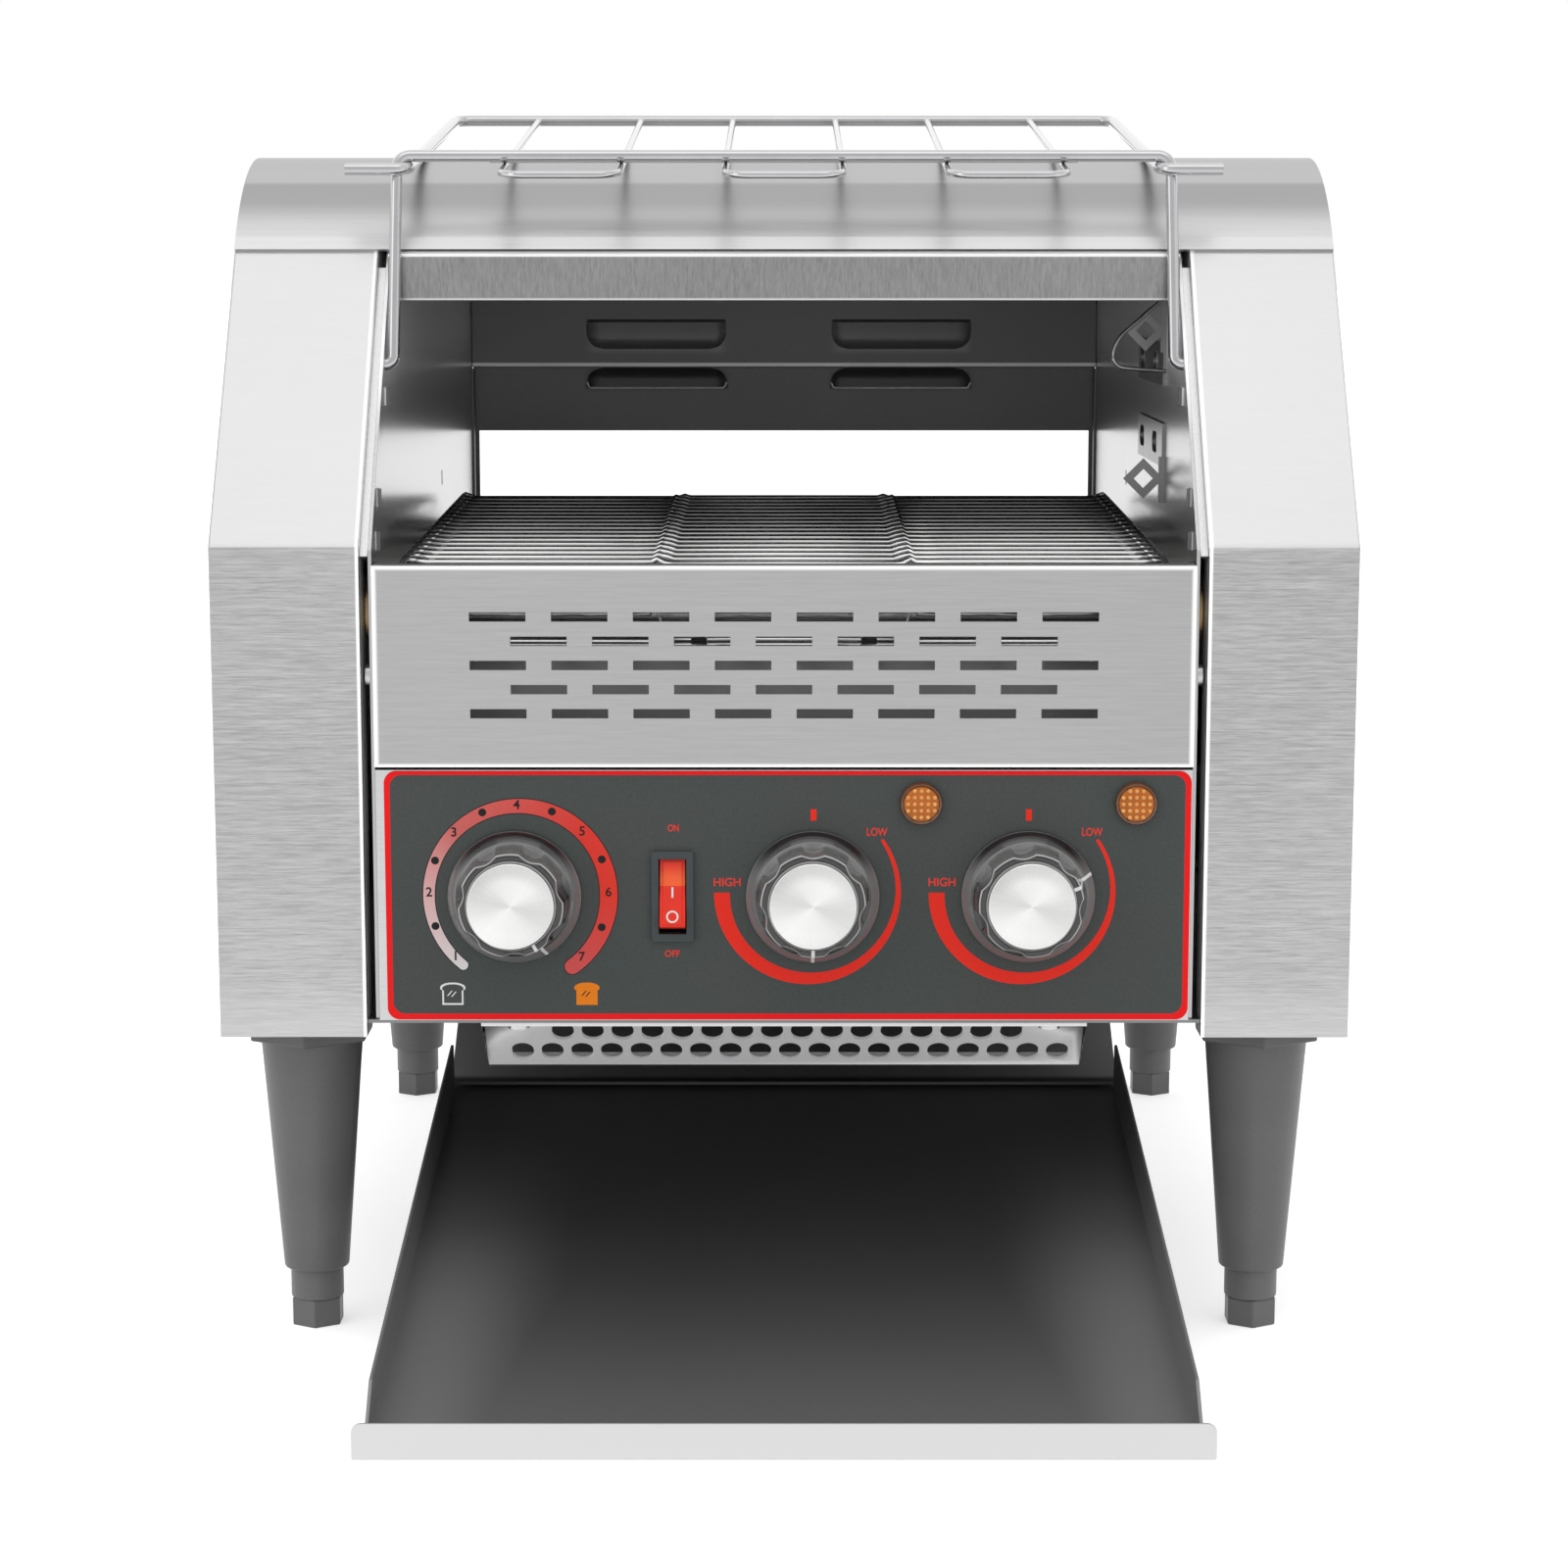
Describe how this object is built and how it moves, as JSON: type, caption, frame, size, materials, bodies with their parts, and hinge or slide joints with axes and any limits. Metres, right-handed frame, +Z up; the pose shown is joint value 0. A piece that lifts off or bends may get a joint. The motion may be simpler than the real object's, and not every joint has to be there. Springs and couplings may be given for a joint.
{
  "type": "conveyor toaster",
  "caption": "Countertop conveyor toaster with wire belt between heater tubes, swing-over feed rack, front dials, return chute and pull-out exit tray on adjustable legs.",
  "frame": {"origin": "centre of the bounding box at the level of the feet's undersides, on the toaster's middle plane", "axes": "+Z up, +Y from the front controls and tray lip towards the rear, +X to the right seen from the front"},
  "size_m": [0.368, 0.492, 0.4098],
  "materials": {
    "satin_steel": "brushed stainless sheet, grain along the width",
    "cover_steel": "brushed stainless sheet of the side covers",
    "inner_steel": "stainless sheet inside the toasting chamber",
    "dark_sheet": "dark coated sheet of the rear panel",
    "tray_sheet": "dark satin coated sheet",
    "plated_steel": "zinc plated steel",
    "wire_chrome": "bright chromed wire",
    "belt_wire": "bright stainless wire",
    "quartz": "frosted quartz tube",
    "ceramic": "white ceramic",
    "bronze": "sintered bronze",
    "motor_case": "grey painted housing",
    "chain_steel": "oiled chain steel",
    "fan_plastic": "black moulded plastic",
    "board_green": "circuit board with black heat sink",
    "switch_body": "dark moulded switch body",
    "film": "matt slate grey printed film with red border",
    "knob_black": "glossy black moulding",
    "cap_metal": "spun aluminium cap",
    "rocker_red": "glossy red moulding",
    "lens_amber": "amber ribbed lens",
    "leg_grey": "dark grey satin coating",
    "foot_grey": "dark grey satin coating"
  },
  "bodies": {
    "chassis": {"base_pan": "satin_steel", "side_wall_left": "inner_steel", "side_wall_right": "inner_steel", "side_cover_left": "cover_steel", "side_cover_right": "cover_steel", "roof": "satin_steel", "front_header": "satin_steel", "rear_panel": "dark_sheet", "rear_lower_cover": "satin_steel", "slotted_panel": "satin_steel", "control_panel": "satin_steel", "control_film": "film", "exit_guard": "satin_steel", "return_chute": "satin_steel", "upper_reflector": "inner_steel", "lower_reflector": "inner_steel", "upper_heaters": "quartz", "lower_heaters": "quartz", "heater_insulators": "ceramic", "shaft_bearings": "bronze", "conveyor_belt": "belt_wire", "gear_motor": "motor_case", "drive_chain": "chain_steel", "fan_frame": "fan_plastic", "speed_board": "board_green", "heat_switches": "switch_body", "speed_potentiometer": "switch_body", "switch_housing": "knob_black", "lamp_housings": "knob_black", "lamp_lenses": "lens_amber", "terminal_block": "ceramic", "cable_gland": "knob_black", "wall_brackets": "dark_sheet", "pan_screws": "plated_steel", "leg_nuts": "plated_steel", "legs": "leg_grey"},
    "drive_line": {"drive_shaft": "plated_steel", "belt_wheels_front": "plated_steel", "drive_sprocket": "chain_steel"},
    "idler_line": {"idler_shaft": "plated_steel", "belt_wheels_rear": "plated_steel"},
    "motor_line": {"motor_sprocket": "chain_steel"},
    "fan": {"fan_rotor": "fan_plastic"},
    "speed_dial": {"speed_knob": "knob_black", "speed_knob_cap": "cap_metal", "speed_spindle": "plated_steel"},
    "upper_heat_dial": {"upper_heat_knob": "knob_black", "upper_heat_knob_cap": "cap_metal", "upper_heat_spindle": "plated_steel"},
    "lower_heat_dial": {"lower_heat_knob": "knob_black", "lower_heat_knob_cap": "cap_metal", "lower_heat_spindle": "plated_steel"},
    "rocker": {"rocker": "rocker_red"},
    "foot_front_left": {"foot_front_left": "foot_grey"},
    "foot_front_right": {"foot_front_right": "foot_grey"},
    "foot_rear_left": {"foot_rear_left": "foot_grey"},
    "foot_rear_right": {"foot_rear_right": "foot_grey"},
    "rack": {"rack_bail": "wire_chrome", "rack_grid": "wire_chrome"},
    "tray": {"exit_tray": "tray_sheet"}
  },
  "joints": [
    {"name": "drive_spin", "type": "hinge", "parent": "chassis", "child": "drive_line", "pos_m": [0, -0.115, 0.243], "axis": [1, 0, 0], "continuous": true, "deforming": ["drive_chain"]},
    {"name": "idler_spin", "type": "hinge", "parent": "chassis", "child": "idler_line", "pos_m": [0, 0.101, 0.249], "axis": [1, 0, 0], "continuous": true},
    {"name": "motor_spin", "type": "hinge", "parent": "chassis", "child": "motor_line", "pos_m": [0, -0.069, 0.15], "axis": [1, 0, 0], "continuous": true},
    {"name": "fan_spin", "type": "hinge", "parent": "chassis", "child": "fan", "pos_m": [0.1587, 0.221, 0.16], "axis": [0, 1, 0], "continuous": true},
    {"name": "speed_turn", "type": "hinge", "parent": "chassis", "child": "speed_dial", "pos_m": [-0.08732, -0.139, 0.152], "axis": [0, 1, 0], "range_deg": [-300, 0]},
    {"name": "upper_heat_turn", "type": "hinge", "parent": "chassis", "child": "upper_heat_dial", "pos_m": [0.0093, -0.139, 0.152], "axis": [0, 1, 0], "range_deg": [-180, 90]},
    {"name": "lower_heat_turn", "type": "hinge", "parent": "chassis", "child": "lower_heat_dial", "pos_m": [0.07914, -0.139, 0.152], "axis": [0, 1, 0], "range_deg": [-69, 201]},
    {"name": "rocker_tilt", "type": "hinge", "parent": "chassis", "child": "rocker", "pos_m": [-0.03614, -0.134, 0.152], "axis": [1, 0, 0], "range_deg": [0, 22]},
    {"name": "foot_front_left_screw", "type": "slide", "parent": "chassis", "child": "foot_front_left", "axis": [0, 0, -1], "range_m": [-0.01, 0.015]},
    {"name": "foot_front_right_screw", "type": "slide", "parent": "chassis", "child": "foot_front_right", "axis": [0, 0, -1], "range_m": [-0.01, 0.015]},
    {"name": "foot_rear_left_screw", "type": "slide", "parent": "chassis", "child": "foot_rear_left", "axis": [0, 0, -1], "range_m": [-0.01, 0.015]},
    {"name": "foot_rear_right_screw", "type": "slide", "parent": "chassis", "child": "foot_rear_right", "axis": [0, 0, -1], "range_m": [-0.01, 0.015]},
    {"name": "rack_swing", "type": "hinge", "parent": "chassis", "child": "rack", "pos_m": [0, -0.089, 0.32159], "axis": [1, 0, 0], "range_deg": [0, 148]},
    {"name": "tray_pull", "type": "slide", "parent": "chassis", "child": "tray", "axis": [0, -1, 0], "range_m": [0, 0.28]}
  ],
  "couplings": [
    {"joint": "idler_spin", "follows": "drive_spin", "ratio": 1},
    {"joint": "motor_spin", "follows": "drive_spin", "ratio": 2}
  ]
}
